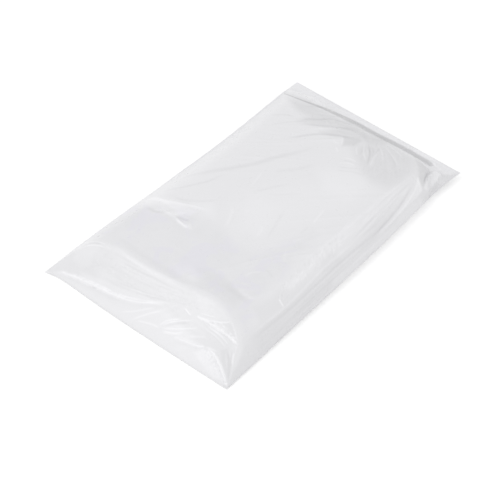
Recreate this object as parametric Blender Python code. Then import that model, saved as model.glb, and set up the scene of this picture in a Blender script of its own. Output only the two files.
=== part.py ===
"""A produce bag of thin milky film, filled with a soft slab and closed, lying flat.

One piece: the film is gathered tight round its filling, and nothing inside can be seen or taken out
without cutting it. The origin is under the middle of the bag, on the surface that it lies on.
+Y runs along the bag to its folded and closed end, +X across it and +Z up. Everything is in metres.
"""

import bmesh
import bpy
from math import pi, sin

# Outline of the filled bag, seam to seam, with the sealed end at -Y and the folded end at +Y
LENGTH = 0.486
SEALED_END_WIDTH = 0.298
FOLDED_END_WIDTH = 0.284

# Heights above the surface that the bag lies on
DEPTH = 0.044
SEALED_END_SEAM_HEIGHT = 0.006
FOLDED_END_SEAM_HEIGHT = 0.010
EDGE_THICKNESS = 0.0014

# How far in from each seam the top film has climbed onto the filling
LEFT_SLOPE = 0.048
RIGHT_SLOPE = 0.013
SEALED_END_SLOPE = 0.064
FOLDED_END_SLOPE = 0.016
FOLDED_END_FLAP = 0.028

# How far in from each seam the film underneath meets the surface
SIDE_TUCK = 0.018
SEALED_END_TUCK = 0.030
FOLDED_END_TUCK = 0.020

# Rows of faces on each stretch of the film
ROWS_ON_SIDE_SLOPE = 6
ROWS_ACROSS_TOP = 8
ROWS_ON_SEALED_SLOPE = 8
ROWS_ALONG_TOP = 9
ROWS_ON_FOLDED_SLOPE = 5
ROWS_ON_FLAP = 2

FILM_COLOUR = (0.86, 0.86, 0.88, 1.0)
FILM_ROUGHNESS = 0.28
NODE_NAME = "filled_bag"


def clear_scene():
    for thing in list(bpy.data.objects):
        bpy.data.objects.remove(thing)


def film_material():
    material = bpy.data.materials.new("milky_film")
    material.use_nodes = True
    shader = material.node_tree.nodes["Principled BSDF"]
    shader.inputs["Base Color"].default_value = FILM_COLOUR
    shader.inputs["Roughness"].default_value = FILM_ROUGHNESS
    shader.inputs["Metallic"].default_value = 0.0
    return material


def stations(stretches):
    """Places along a line made of stretches, each a pair of its length and its number of rows."""
    places = [0.0]
    for length, rows in stretches:
        start = places[-1]
        places += [start + length * (row + 1) / rows for row in range(rows)]
    return places


def climb(distance, run):
    """How far the film has risen, from 0 at the seam to 1, a quarter of a wave over the run."""
    share = min(max(distance / run, 0.0), 1.0)
    return sin(share * pi / 2)


def between_ends(at_sealed_end, at_folded_end, along):
    """A value that changes evenly from one end of the bag to the other."""
    return at_sealed_end + (at_folded_end - at_sealed_end) * along / LENGTH


def width_at(along):
    return between_ends(SEALED_END_WIDTH, FOLDED_END_WIDTH, along)


def seam_height(along):
    return between_ends(SEALED_END_SEAM_HEIGHT, FOLDED_END_SEAM_HEIGHT, along)


def rise_of_top(from_left, from_right, along):
    sides = climb(from_left, LEFT_SLOPE) * climb(from_right, RIGHT_SLOPE)
    folded_end = climb(LENGTH - FOLDED_END_FLAP - along, FOLDED_END_SLOPE)
    return sides * climb(along, SEALED_END_SLOPE) * folded_end


def rise_of_underside(from_left, from_right, along):
    sides = climb(from_left, SIDE_TUCK) * climb(from_right, SIDE_TUCK)
    folded_end = climb(LENGTH - FOLDED_END_FLAP - along, FOLDED_END_TUCK)
    return sides * climb(along, SEALED_END_TUCK) * folded_end


def top_height(from_left, from_right, along):
    lowest = seam_height(along) + EDGE_THICKNESS / 2
    return lowest + (DEPTH - lowest) * rise_of_top(from_left, from_right, along)


def underside_height(from_left, from_right, along):
    highest = seam_height(along) - EDGE_THICKNESS / 2
    return highest * (1 - rise_of_underside(from_left, from_right, along))


def add_film(shell, across, along, height_at):
    """One layer of film: a grid whose corners lie on the stations, at the height of that layer."""
    columns = len(across) - 1
    rows = len(along) - 1
    grid = bmesh.ops.create_grid(shell, x_segments=columns, y_segments=rows, size=1.0)
    for corner in grid["verts"]:
        column = round((corner.co.x + 1) / 2 * columns)
        row = round((corner.co.y + 1) / 2 * rows)
        width = width_at(along[row])
        from_left = across[column] / across[-1] * width
        corner.co.z = height_at(from_left, width - from_left, along[row])
        corner.co.x = from_left - width / 2
        corner.co.y = along[row] - LENGTH / 2
    return grid["verts"]


def seam_edges(shell):
    return [edge for edge in shell.edges if edge.is_boundary]


def filled_bag():
    top_width = SEALED_END_WIDTH - LEFT_SLOPE - RIGHT_SLOPE
    across = stations(
        [
            (LEFT_SLOPE, ROWS_ON_SIDE_SLOPE),
            (top_width, ROWS_ACROSS_TOP),
            (RIGHT_SLOPE, ROWS_ON_SIDE_SLOPE),
        ]
    )
    top_length = LENGTH - SEALED_END_SLOPE - FOLDED_END_SLOPE - FOLDED_END_FLAP
    along = stations(
        [
            (SEALED_END_SLOPE, ROWS_ON_SEALED_SLOPE),
            (top_length, ROWS_ALONG_TOP),
            (FOLDED_END_SLOPE, ROWS_ON_FOLDED_SLOPE),
            (FOLDED_END_FLAP, ROWS_ON_FLAP),
        ]
    )
    shell = bmesh.new()
    add_film(shell, across, along, top_height)
    underside = add_film(shell, across, along, underside_height)
    underside_faces = {face for corner in underside for face in corner.link_faces}
    bmesh.ops.reverse_faces(shell, faces=list(underside_faces))
    bmesh.ops.bridge_loops(shell, edges=seam_edges(shell))
    bmesh.ops.recalc_face_normals(shell, faces=shell.faces)
    bmesh.ops.triangulate(shell, faces=shell.faces)
    mesh = bpy.data.meshes.new(NODE_NAME)
    shell.to_mesh(mesh)
    shell.free()
    mesh.shade_smooth()
    mesh.materials.append(film_material())
    bag = bpy.data.objects.new(NODE_NAME, mesh)
    bpy.context.scene.collection.objects.link(bag)
    return bag


clear_scene()
filled_bag()
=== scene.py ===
# %% [markdown]
# A produce bag of thin milky film lies on a white table. It is filled with a soft slab and closed.
# This lesson makes its film skin as one shell. A plain layer of film is shaped over the
# filling, slackened by a short cloth simulation, creased where a real bag creases, and then closed
# with a second layer underneath.

import math

import bmesh
import bpy
import numpy as np
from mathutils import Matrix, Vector
from mathutils.bvhtree import BVHTree


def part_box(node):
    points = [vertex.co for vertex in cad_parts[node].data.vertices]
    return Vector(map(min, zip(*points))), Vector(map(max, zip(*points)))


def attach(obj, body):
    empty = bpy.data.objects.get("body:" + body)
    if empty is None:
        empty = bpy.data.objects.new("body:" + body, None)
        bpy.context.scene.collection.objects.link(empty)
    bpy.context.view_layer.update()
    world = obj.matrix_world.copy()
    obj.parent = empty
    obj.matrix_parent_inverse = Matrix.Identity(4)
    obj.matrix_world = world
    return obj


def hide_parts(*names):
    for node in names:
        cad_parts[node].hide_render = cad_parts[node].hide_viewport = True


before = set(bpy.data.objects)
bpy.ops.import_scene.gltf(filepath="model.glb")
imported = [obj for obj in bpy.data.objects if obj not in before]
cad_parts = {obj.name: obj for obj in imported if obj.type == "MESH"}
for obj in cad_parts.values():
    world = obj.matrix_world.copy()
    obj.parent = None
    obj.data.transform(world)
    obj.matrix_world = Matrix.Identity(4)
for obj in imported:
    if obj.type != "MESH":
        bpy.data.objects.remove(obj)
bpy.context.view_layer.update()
bag_low, bag_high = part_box("filled_bag")
print("the bag measures", [round(high - low, 3) for low, high in zip(bag_low, bag_high)])


def start_afresh():
    """Nothing selected and no edit mode, so that an operator acts only on what comes next."""
    if bpy.context.object and bpy.context.object.mode != "OBJECT":
        bpy.ops.object.mode_set(mode="OBJECT")
    bpy.ops.object.select_all(action="DESELECT")


def select_only(thing):
    start_afresh()
    thing.select_set(True)
    bpy.context.view_layer.objects.active = thing


# %% [markdown]
# The camera comes first, because the creases are placed where the photo shows them. The straight
# seams of the bag give the camera's angle and its distance: 45 degrees above the table, turned 40
# degrees round from the sealed end, and far enough away for a long lens.

# %% The camera and the eye's ray
PICTURE_SIDE = 500
EYE_AZIMUTH = math.radians(40.5)
EYE_ELEVATION = math.radians(45.2)
EYE_DISTANCE = 2.10
LOOKED_AT = Vector((0.0153, -0.0420, 0.0))
PICTURE_WIDTH_THERE = 0.636
SENSOR_WIDTH = 36.0

towards_eye = Vector(
    (
        math.sin(EYE_AZIMUTH) * math.cos(EYE_ELEVATION),
        -math.cos(EYE_AZIMUTH) * math.cos(EYE_ELEVATION),
        math.sin(EYE_ELEVATION),
    )
)
eye_right = Vector((math.cos(EYE_AZIMUTH), math.sin(EYE_AZIMUTH), 0))
eye_up = towards_eye.cross(eye_right)
eye_place = LOOKED_AT + towards_eye * EYE_DISTANCE


def eye_ray(pixel):
    """The direction in which the eye sees a pixel of the photo."""
    across = (pixel[0] / PICTURE_SIDE - 0.5) * PICTURE_WIDTH_THERE
    down = (pixel[1] / PICTURE_SIDE - 0.5) * PICTURE_WIDTH_THERE
    target = LOOKED_AT + eye_right * across - eye_up * down
    return (target - eye_place).normalized()


def make_camera():
    lens = bpy.data.cameras.new("eye")
    lens.sensor_width = SENSOR_WIDTH
    lens.lens = SENSOR_WIDTH * EYE_DISTANCE / PICTURE_WIDTH_THERE
    camera = bpy.data.objects.new("eye", lens)
    bpy.context.scene.collection.objects.link(camera)
    camera.location = eye_place
    camera.rotation_euler = (-towards_eye).to_track_quat("-Z", "Y").to_euler()
    bpy.context.scene.camera = camera
    print("camera lens", round(lens.lens, 1), "mm")


make_camera()

# %% [markdown]
# The outline of the bag is four straight seams between four pointed corners. A flat ear of film
# sticks out at each corner. Between its two ears the left seam is lifted by the filling, and the
# seams at the sealed end and at the right are drawn in a little beside an ear.

# %% The outline of the bag
MM = 0.001
CORNERS = {
    "sealed left": (-154.7 * MM, -239.7 * MM, 1 * MM),
    "sealed right": (144.5 * MM, -235.4 * MM, 1 * MM),
    "folded left": (-144.0 * MM, 247.0 * MM, 10 * MM),
    "folded right": (140.5 * MM, 241.5 * MM, 10 * MM),
}
LEFT_SEAM_LIFT = 13 * MM
LEFT_SEAM_PULL = 0.686
LEFT_SEAM_BOW = 6 * MM
LEFT_SEAM_BOW_SKEW = 1.5
SEALED_SEAM_DRAWN_IN = 4.2 * MM
RIGHT_SEAM_DRAWN_IN = 4 * MM
EAR_REACH = 0.1
EAR_LENGTH_AT_SEALED_END = 50 * MM
EAR_LENGTH_AT_FOLDED_END = 42 * MM
BAG_LENGTH = bag_high.y - bag_low.y


def smooth_share(value):
    """A soft step: 0 below 0, 1 above 1, and level at both."""
    value = np.clip(value, 0, 1)
    return value * value * (3 - 2 * value)


def left_seam_lift(share_along):
    """How far the filling has lifted the left seam, between the ears at its two ends."""
    from_sealed_end = smooth_share(share_along * BAG_LENGTH / EAR_LENGTH_AT_SEALED_END)
    from_folded_end = smooth_share((1 - share_along) * BAG_LENGTH / EAR_LENGTH_AT_FOLDED_END)
    return LEFT_SEAM_LIFT * from_sealed_end * from_folded_end


def drawn_in(share):
    """How far a seam is drawn in beside an ear: not at the ear's tip, and less and less beyond it."""
    return share / EAR_REACH * np.exp(1 - share / EAR_REACH)


def outline(share_across, share_along):
    """The seam plane: x, y and z of a point by its shares of the way across and along the bag."""
    corner = {name: np.array(place)[:, None] for name, place in CORNERS.items()}
    sealed = corner["sealed left"] * (1 - share_across) + corner["sealed right"] * share_across
    folded = corner["folded left"] * (1 - share_across) + corner["folded right"] * share_across
    plane = sealed * (1 - share_along) + folded * share_along
    lift = left_seam_lift(share_along) * (1 - share_across)
    bowed = np.sin(share_along**LEFT_SEAM_BOW_SKEW * math.pi) ** 2
    plane[0] += LEFT_SEAM_PULL * lift + LEFT_SEAM_BOW * bowed * (1 - share_across)
    plane[0] -= RIGHT_SEAM_DRAWN_IN * drawn_in(1 - share_along) * share_across
    plane[1] += SEALED_SEAM_DRAWN_IN * drawn_in(share_across) * (1 - share_along)
    plane[2] += lift
    return plane


def seam_lines(share_across, share_along):
    """Where the seams lie beside a point: x of the left and right ones, y of the two ends."""
    start = np.zeros_like(share_along)
    end = np.ones_like(share_along)
    left_x = outline(start, share_along)[0]
    right_x = outline(end, share_along)[0]
    return left_x, right_x, outline(share_across, start)[1], outline(share_across, end)[1]


# %% [markdown]
# The film on top rises from the seams onto the filling: gently at the left, round at the right, in a
# long slope at the sealed end, and abruptly behind the folded end's flat flap. Each rise is a number
# from 0 at the seam to 1 on top, and the lower of the rises wins where two slopes meet at a corner.

# %% The height of the film
DEPTH = bag_high.z - 1 * MM
LEFT_RUN = 46 * MM
RIGHT_RUN = 30 * MM
RIGHT_EAR_WIDTH = 21 * MM
RIGHT_EAR_START = 165 * MM
RIGHT_EAR_RUN = 40 * MM
# Places across the bag, each with the length of the sealed end's slope there
SEALED_RUN_ACROSS = [
    (-150 * MM, 54 * MM),
    (-100 * MM, 60 * MM),
    (0 * MM, 64 * MM),
    (40 * MM, 70 * MM),
    (70 * MM, 75 * MM),
    (100 * MM, 66 * MM),
    (140 * MM, 44 * MM),
]
SEALED_STEEPNESS = 1.12
SEALED_BEND = 0.92
SEALED_SHARPNESS = 9
FLAP_LENGTH = 31 * MM
FOLDED_DROP = 13 * MM
FOLDED_ROUNDING = 34 * MM
FOLDED_STEEP_SHARE = 0.78
FOLDED_GENTLE_SHARE = 0.22
CORNER_SHARPNESS = 2.6
LOWEST_SHARE = 1e-3


def climb(distance, run):
    """0 at the seam and 1 where the run ends, steep at first: a quarter of a wave."""
    return np.sin(np.clip(distance / run, 0, 1) * math.pi / 2)


def soft_lower(first, second, sharpness):
    """The lower of two shares, rounded off where they are alike."""
    first = np.clip(first, LOWEST_SHARE, 1)
    second = np.clip(second, LOWEST_SHARE, 1)
    return (first**-sharpness + second**-sharpness - 1) ** (-1 / sharpness)


def rises(share_across, share_along):
    """The rise of the film from the side seams, and from the two ends."""
    x, y, _ = outline(share_across, share_along)
    left_x, right_x, sealed_y, folded_y = seam_lines(share_across, share_along)
    left = climb(x - left_x, LEFT_RUN)
    right_ear = RIGHT_EAR_WIDTH * smooth_share((y - RIGHT_EAR_START) / RIGHT_EAR_RUN)
    right_share = np.clip((right_x - x - right_ear) / RIGHT_RUN, 0, 1)
    right = np.sqrt(1 - (1 - right_share) ** 2)
    stations, runs = zip(*SEALED_RUN_ACROSS)
    sealed_share = (y - sealed_y) / np.interp(x, stations, runs)
    sealed_rise = SEALED_STEEPNESS * np.maximum(sealed_share, 0) ** SEALED_BEND
    sealed = soft_lower(sealed_rise, np.ones_like(x), SEALED_SHARPNESS)
    behind = folded_y - y - FLAP_LENGTH
    steep = climb(behind, FOLDED_DROP)
    gentle = climb(behind, FOLDED_DROP + FOLDED_ROUNDING)
    folded = FOLDED_STEEP_SHARE * steep + FOLDED_GENTLE_SHARE * gentle
    return left * right, sealed * folded


def film_height(share_across, share_along):
    sides, ends = rises(share_across, share_along)
    seam = outline(share_across, share_along)[2]
    return seam + (DEPTH - seam) * soft_lower(sides, ends, CORNER_SHARPNESS)


# %% [markdown]
# The film starts as a flat grid, the way a bag starts flat on its roll. Its lines are spaced evenly
# over the film and not over the table, so the steep right side gets as many faces as the top.

# %% The film on top, as a coarse cage
CAGE_COLUMNS = 60
CAGE_ROWS = 98
WIDTH_IN_THE_MIDDLE = 0.292
LENGTH_IN_THE_MIDDLE = 0.485
FINE_STEPS = 2000
THICK_GAP = 6 * MM


def height_across(share):
    return film_height(share, np.full_like(share, 0.5))


def height_along(share):
    return film_height(np.full_like(share, 0.5), share)


def even_stations(height_along_line, length, count):
    """Shares of the way along a line, spaced evenly over the film that rises and falls above it."""
    fine = np.linspace(0, 1, FINE_STEPS)
    step = np.hypot(np.diff(fine) * length, np.diff(height_along_line(fine)))
    walked = np.concatenate([[0], np.cumsum(step)])
    print("film above this line measures", round(walked[-1], 3))
    return np.interp(np.linspace(0, walked[-1], count + 1), walked, fine)


def mesh_places(thing):
    places = np.zeros(len(thing.data.vertices) * 3)
    thing.data.vertices.foreach_get("co", places)
    return places.reshape(-1, 3)


def set_places(thing, places):
    thing.data.vertices.foreach_set("co", np.asarray(places, float).ravel())
    thing.data.update()


def write_attribute(thing, name, values):
    """Keeps one number for each point of a thing, which its material reads by name."""
    attribute = thing.data.attributes.new(name, "FLOAT", "POINT")
    attribute.data.foreach_set("value", values)


def mark_thin(thing, gap):
    """Marks where the two layers of film lie on each other, with no filling between them."""
    write_attribute(thing, "thin", 1 - smooth_share(gap / THICK_GAP))


def flat_grid(name, column_count, row_count):
    """A grid from 0 to 1 both ways, whose places are shares of the way across and along."""
    start_afresh()
    bpy.ops.mesh.primitive_grid_add(
        x_subdivisions=column_count, y_subdivisions=row_count, size=1, location=(0.5, 0.5, 0)
    )
    grid = bpy.context.object
    bpy.ops.object.transform_apply(location=True)
    grid.name = name
    grid.data.name = name
    return grid


columns = even_stations(height_across, WIDTH_IN_THE_MIDDLE, CAGE_COLUMNS)
rows = even_stations(height_along, LENGTH_IN_THE_MIDDLE, CAGE_ROWS)
film = flat_grid("film_bag", CAGE_COLUMNS, CAGE_ROWS)
share = mesh_places(film)
across = np.interp(share[:, 0] * CAGE_COLUMNS, np.arange(CAGE_COLUMNS + 1), columns)
along = np.interp(share[:, 1] * CAGE_ROWS, np.arange(CAGE_ROWS + 1), rows)
places = outline(across, along).T.copy()
places[:, 2] = film_height(across, along)
set_places(film, places)
mark_thin(film, places[:, 2] - outline(across, along)[2])
print("cage of", len(film.data.polygons), "faces, highest point", round(places[:, 2].max(), 4))

# %% [markdown]
# Film bends in smooth curves, so the cage is smoothed, but its four corners stay pointed. A copy of
# the cage stands for the filling.

# %% Smooth the cage into film
def smooth_once(thing):
    """Cuts every face in four and rounds the shape, with its corners kept."""
    select_only(thing)
    smooth = thing.modifiers.new("smooth film", "SUBSURF")
    smooth.levels = 1
    smooth.render_levels = 1
    smooth.boundary_smooth = "PRESERVE_CORNERS"
    bpy.ops.object.modifier_apply(modifier=smooth.name)


def copy_of(thing, name):
    select_only(thing)
    bpy.ops.object.duplicate()
    twin = bpy.context.object
    twin.name = name
    return twin


filling = copy_of(film, "filling")
smooth_once(film)

# %% [markdown]
# Real film is a little larger than what it wraps, so it buckles. The filling is sunk by a little
# under the film. Film and filling start short in the direction in which the bag was pulled shut, and
# are drawn out to their size while the film is held at its seams. The film is cut too large by a few
# parts in a hundred. Drawn out one way, it is slack only across the pull, and its folds run along
# the pull, as they do in the photo.

# %% A short start, a firm filling and slack film
FILM_SLACK = 0.038
PULL_DIRECTION = (0.50, 0.866)
DRAWING_FRAMES = 9
SETTLING_FRAMES = 29
FILM_CLEARANCE = 1.6 * MM
SKIN = 0.6 * MM


def seam_share(thing):
    """1 on the seam of an open sheet, and 0 inside it."""
    shell = bmesh.new()
    shell.from_mesh(thing.data)
    on_seam = np.array([float(corner.is_boundary) for corner in shell.verts])
    shell.free()
    return on_seam


def draw_out(thing, places):
    """The thing starts short along the pull, and is drawn out to its places in the first frames."""
    x_part, y_part = PULL_DIRECTION
    along_pull = places[:, 0] * x_part + places[:, 1] * y_part
    short = places.copy()
    short[:, 0] -= FILM_SLACK * along_pull * x_part
    short[:, 1] -= FILM_SLACK * along_pull * y_part
    set_places(thing, short)
    thing.shape_key_add(name="short")
    drawn_out = thing.shape_key_add(name="drawn out")
    drawn_out.data.foreach_set("co", places.ravel())
    drawn_out.value = 0
    drawn_out.keyframe_insert("value", frame=1)
    drawn_out.value = 1
    drawn_out.keyframe_insert("value", frame=DRAWING_FRAMES)


def make_firm(filling):
    filling.modifiers.new("firm", "COLLISION")
    filling.collision.thickness_outer = SKIN
    filling.collision.cloth_friction = 8


def make_slack(film):
    cloth = film.modifiers.new("slack film", "CLOTH")
    cloth.settings.quality = 6
    cloth.settings.mass = 0.05
    cloth.settings.tension_stiffness = 20
    cloth.settings.compression_stiffness = 20
    cloth.settings.shear_stiffness = 10
    cloth.settings.bending_stiffness = 0.02
    cloth.settings.shrink_min = -FILM_SLACK
    cloth.settings.vertex_group_mass = "seam"
    cloth.settings.effector_weights.gravity = 0.4
    cloth.collision_settings.distance_min = SKIN
    cloth.collision_settings.collision_quality = 3
    cloth.point_cache.frame_start = 1
    cloth.point_cache.frame_end = SETTLING_FRAMES
    return cloth


def settle(film, filling):
    """How far each point of the film moves when it settles."""
    before = mesh_places(film)
    draw_out(film, before)
    draw_out(filling, mesh_places(filling) - np.array([0, 0, FILM_CLEARANCE]))
    make_firm(filling)
    held = film.vertex_groups.new(name="seam")
    for corner in np.flatnonzero(seam_share(film)):
        held.add([int(corner)], 1.0, "REPLACE")
    cloth = make_slack(film)
    for frame_number in range(1, SETTLING_FRAMES + 1):
        bpy.context.scene.frame_set(frame_number)
    select_only(film)
    bpy.ops.object.modifier_apply_as_shapekey(modifier=cloth.name)
    after = np.zeros(before.size)
    film.data.shape_keys.key_blocks[-1].data.foreach_get("co", after)
    bpy.ops.object.shape_key_remove(all=True)
    film.vertex_groups.clear()
    film.animation_data_clear()
    set_places(film, before)
    move = after.reshape(-1, 3) - before
    print("the film moved by at most", round(float(np.abs(move).max()) / MM, 2), "mm")
    return move


# %% [markdown]
# The simulation also blows the film up a little over its whole width, which the bag in the photo is
# not. So most of the broad bulge is taken out again, and the wrinkles are kept and held in bounds.

# %% Keep the wrinkles and not the bulge
LARGEST_MOVE = 5 * MM
BULGE_KEPT = 0.25
BULGE_WIDTH = 22 * MM
TINY = 1e-9


def blurred(values, reach):
    """Values on the grid of film, each the mean of those within a reach, counted in grid lines."""
    for axis in (0, 1):
        padding = [(reach, reach) if a == axis else (0, 0) for a in range(values.ndim)]
        padded = np.pad(values, padding, mode="edge")
        total = np.zeros_like(values)
        for shift in range(2 * reach + 1):
            total += np.take(padded, np.arange(shift, shift + values.shape[axis]), axis=axis)
        values = total / (2 * reach + 1)
    return values


def grid_index(thing, column_count, row_count):
    """Which point of a sheet lies where column and row lines cross, read from its flat map."""
    flat = np.zeros(len(thing.data.loops) * 2)
    thing.data.uv_layers[0].data.foreach_get("uv", flat)
    flat = flat.reshape(-1, 2)
    point = np.zeros(len(thing.data.loops), int)
    thing.data.loops.foreach_get("vertex_index", point)
    index = np.zeros((row_count + 1, column_count + 1), int)
    row = np.round(flat[:, 1] * row_count).astype(int)
    column = np.round(flat[:, 0] * column_count).astype(int)
    index[row, column] = point
    return index


def wrinkles_only(move):
    """Most of the film's bulging is taken out of its move, and its wrinkles are kept."""
    index = grid_index(film, CAGE_COLUMNS * 2, CAGE_ROWS * 2)
    on_grid = move[index]
    reach = round(BULGE_WIDTH / (BAG_LENGTH / CAGE_ROWS / 2))
    kept = on_grid - (1 - BULGE_KEPT) * blurred(on_grid, reach)
    wrinkles = np.zeros_like(move)
    wrinkles[index.ravel()] = kept.reshape(-1, 3)
    size = np.linalg.norm(wrinkles, axis=1, keepdims=True)
    print("wrinkles reach", round(float(size.max()) / MM, 2), "mm")
    return wrinkles * np.minimum(1, LARGEST_MOVE / np.maximum(size, TINY))


# %% [markdown]
# The film is loose towards the folded end and pulled flat near the sealed end, so its wrinkles are
# stronger or weaker by place. Where the folded end was pressed down they nearly vanish. That area is
# a patch drawn over the photo.

# %% Wrinkle the film
PRESSED_FLAT = [(312, 150), (342, 139), (378, 137), (404, 146), (398, 158), (352, 156)]
PRESSED_EDGE = 12
LOOSE_FROM = -90 * MM
LOOSE_WITHIN = 100 * MM
SLOPE_END = -190 * MM
SLOPE_FADE = 30 * MM
LEFT_SEAM = -147 * MM
LEFT_SEAM_FADE = 22 * MM
LOOSE_LEAST = 0.38
LOOSE_GAIN = 0.92
SLOPE_LOSS = 0.5
PRESSED_LOSS = 0.8


def seen_at(places):
    """The pixels at which the eye sees these places."""
    from_eye = places - np.array(eye_place)
    depth = -from_eye @ np.array(towards_eye)
    right = from_eye @ np.array(eye_right) / depth * EYE_DISTANCE / PICTURE_WIDTH_THERE
    up = from_eye @ np.array(eye_up) / depth * EYE_DISTANCE / PICTURE_WIDTH_THERE
    return np.stack([(right + 0.5) * PICTURE_SIDE, (0.5 - up) * PICTURE_SIDE], axis=1)


def inside_patch(pixels, corners, edge):
    """1 well inside a patch and 0 outside it, with a soft edge as wide as given, in pixels."""
    first = np.array(corners, float)
    second = np.roll(first, -1, axis=0)
    nearest = np.full(len(pixels), np.inf)
    crossings = np.zeros(len(pixels), int)
    for start, stop, leg in zip(first, second, second - first):
        share = np.clip((pixels - start) @ leg / (leg @ leg), 0, 1)
        away = np.linalg.norm(pixels - start - share[:, None] * leg, axis=1)
        nearest = np.minimum(nearest, away)
        spans = (start[1] > pixels[:, 1]) != (stop[1] > pixels[:, 1])
        rise = leg[1] if leg[1] else TINY
        crossing_x = start[0] + (pixels[:, 1] - start[1]) / rise * leg[0]
        crossings += spans & (pixels[:, 0] < crossing_x)
    signed = np.where(crossings % 2 == 1, nearest, -nearest)
    return smooth_share(0.5 + signed / edge)


def looseness(places):
    """How loose the film lies: loose towards the folded end, pulled flat near the sealed end."""
    x, y = places[:, 0], places[:, 1]
    towards_folded_end = smooth_share((y - LOOSE_FROM) / LOOSE_WITHIN)
    on_sealed_slope = 1 - smooth_share((y - SLOPE_END) / SLOPE_FADE)
    from_left_seam = smooth_share((x - LEFT_SEAM) / LEFT_SEAM_FADE)
    pressed_flat = inside_patch(seen_at(places), PRESSED_FLAT, PRESSED_EDGE)
    loose = (LOOSE_LEAST + LOOSE_GAIN * towards_folded_end) * (1 - SLOPE_LOSS * on_sealed_slope)
    return loose * from_left_seam * (1 - PRESSED_LOSS * pressed_flat)


move = settle(film, filling)
bpy.data.objects.remove(filling)
move = wrinkles_only(move) * looseness(mesh_places(film))[:, None]
set_places(film, mesh_places(film) + move)
smooth_once(film)
bpy.ops.object.shade_smooth()
print("film of", len(film.data.polygons), "faces")

# %% [markdown]
# The sealed end, the folded end and the glossy spot near the left seam carry the finest lines, so
# the film is cut finer there. Each of these parts is a patch drawn over the photo.

# %% Cut the film finer where its creases are fine
SEALED_END = [(40, 274), (80, 243), (122, 241), (220, 286), (250, 300), (258, 330), (232, 396), (150, 345)]
FOLDED_END = [(292, 78), (466, 174), (428, 210), (384, 236), (376, 222), (402, 186), (334, 158), (268, 118)]
GLOSSY_SPOT = [(138, 196), (158, 190), (234, 214), (226, 232), (190, 234), (142, 210)]
SHOULDER_BAND = [
    (266, 296), (284, 274), (312, 250), (350, 214), (364, 224), (330, 256), (300, 286), (280, 310),
]


def face_centres(thing):
    centres = np.zeros(len(thing.data.polygons) * 3)
    thing.data.polygons.foreach_get("center", centres)
    return centres.reshape(-1, 3)


def cut_finer(thing, patches):
    """Cuts the faces that the eye sees within these patches in four."""
    centres = seen_at(face_centres(thing))
    chosen = np.zeros(len(centres), bool)
    for corners in patches:
        chosen |= inside_patch(centres, corners, 1) > 0.5
    select_only(thing)
    bpy.ops.object.mode_set(mode="EDIT")
    bpy.ops.mesh.select_mode(type="FACE")
    bpy.ops.mesh.select_all(action="DESELECT")
    bpy.ops.object.mode_set(mode="OBJECT")
    thing.data.polygons.foreach_set("select", chosen)
    bpy.ops.object.mode_set(mode="EDIT")
    bpy.ops.mesh.subdivide(number_cuts=1, smoothness=0, ngon=False)
    bpy.ops.object.mode_set(mode="OBJECT")
    print("cut finer", int(chosen.sum()), "faces, now", len(thing.data.polygons))


cut_finer(film, [SEALED_END, FOLDED_END, GLOSSY_SPOT, SHOULDER_BAND])

# %% [markdown]
# The creases come next. Each one is a path drawn over the photo. The eye's ray through each
# point of a path meets the film, so the crease lies on the film wherever it is seen from. Film
# beside the path is lifted along its own normal, or sunk where the lift is below zero. A real
# crease has a steep flank and a gentle one, so each path has its own reach on its far and near side.

# %% A path on the film
PATH_POINTS = 40
film_places = mesh_places(film)
film_normals = np.zeros(film_places.size)
film.data.vertex_normals.foreach_get("vector", film_normals)
film_normals = film_normals.reshape(-1, 3)
film_tree = BVHTree.FromPolygons(
    [Vector(place) for place in film_places], [face.vertices[:] for face in film.data.polygons]
)
film_lift = np.zeros(len(film_places))
film_shade = np.zeros(len(film_places))


def on_film(pixels):
    """Where the film lies that the eye sees at these pixels of the photo."""
    met = []
    for pixel in pixels:
        ray = eye_ray(pixel)
        place = film_tree.ray_cast(eye_place, ray)[0]
        if place is None:
            beyond = eye_place + ray * (-eye_place.z / ray.z)
            place = film_tree.find_nearest(beyond)[0]
        met.append(place[:])
    return np.array(met)


def softened(path, count=PATH_POINTS):
    """A path of few points walked in even steps, its corners cut twice at a quarter of their legs."""
    for _ in range(2):
        first = path[:-1] * 0.75 + path[1:] * 0.25
        second = path[:-1] * 0.25 + path[1:] * 0.75
        inner = np.stack([first, second], axis=1).reshape(-1, path.shape[1])
        path = np.concatenate([path[:1], inner, path[-1:]])
    walked = np.concatenate([[0], np.cumsum(np.linalg.norm(np.diff(path, axis=0), axis=1))])
    steps = np.linspace(0, walked[-1], count)
    return np.stack([np.interp(steps, walked, places) for places in path.T], axis=1)


def beside(path, reach):
    """The points of film within reach of a path: their distance, above zero on its far side."""
    low = path.min(axis=0) - reach
    high = path.max(axis=0) + reach
    near = np.flatnonzero(np.all((film_places > low) & (film_places < high), axis=1))
    start = path[:-1]
    leg = np.diff(path, axis=0)
    from_start = film_places[near][:, None] - start[None]
    share = np.sum(from_start * leg, axis=2) / np.sum(leg * leg, axis=1)
    offset = from_start - np.clip(share, 0, 1)[..., None] * leg
    away = np.linalg.norm(offset, axis=2)
    nearest = np.argmin(away, axis=1)
    rows = np.arange(len(near))
    side = np.cross(film_normals[near], leg[nearest])
    towards_far = np.sign(np.sum(side * offset[rows, nearest], axis=1))
    along = (nearest + np.clip(share[rows, nearest], 0, 1)) / len(leg)
    return near, away[rows, nearest] * towards_far, along
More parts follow.
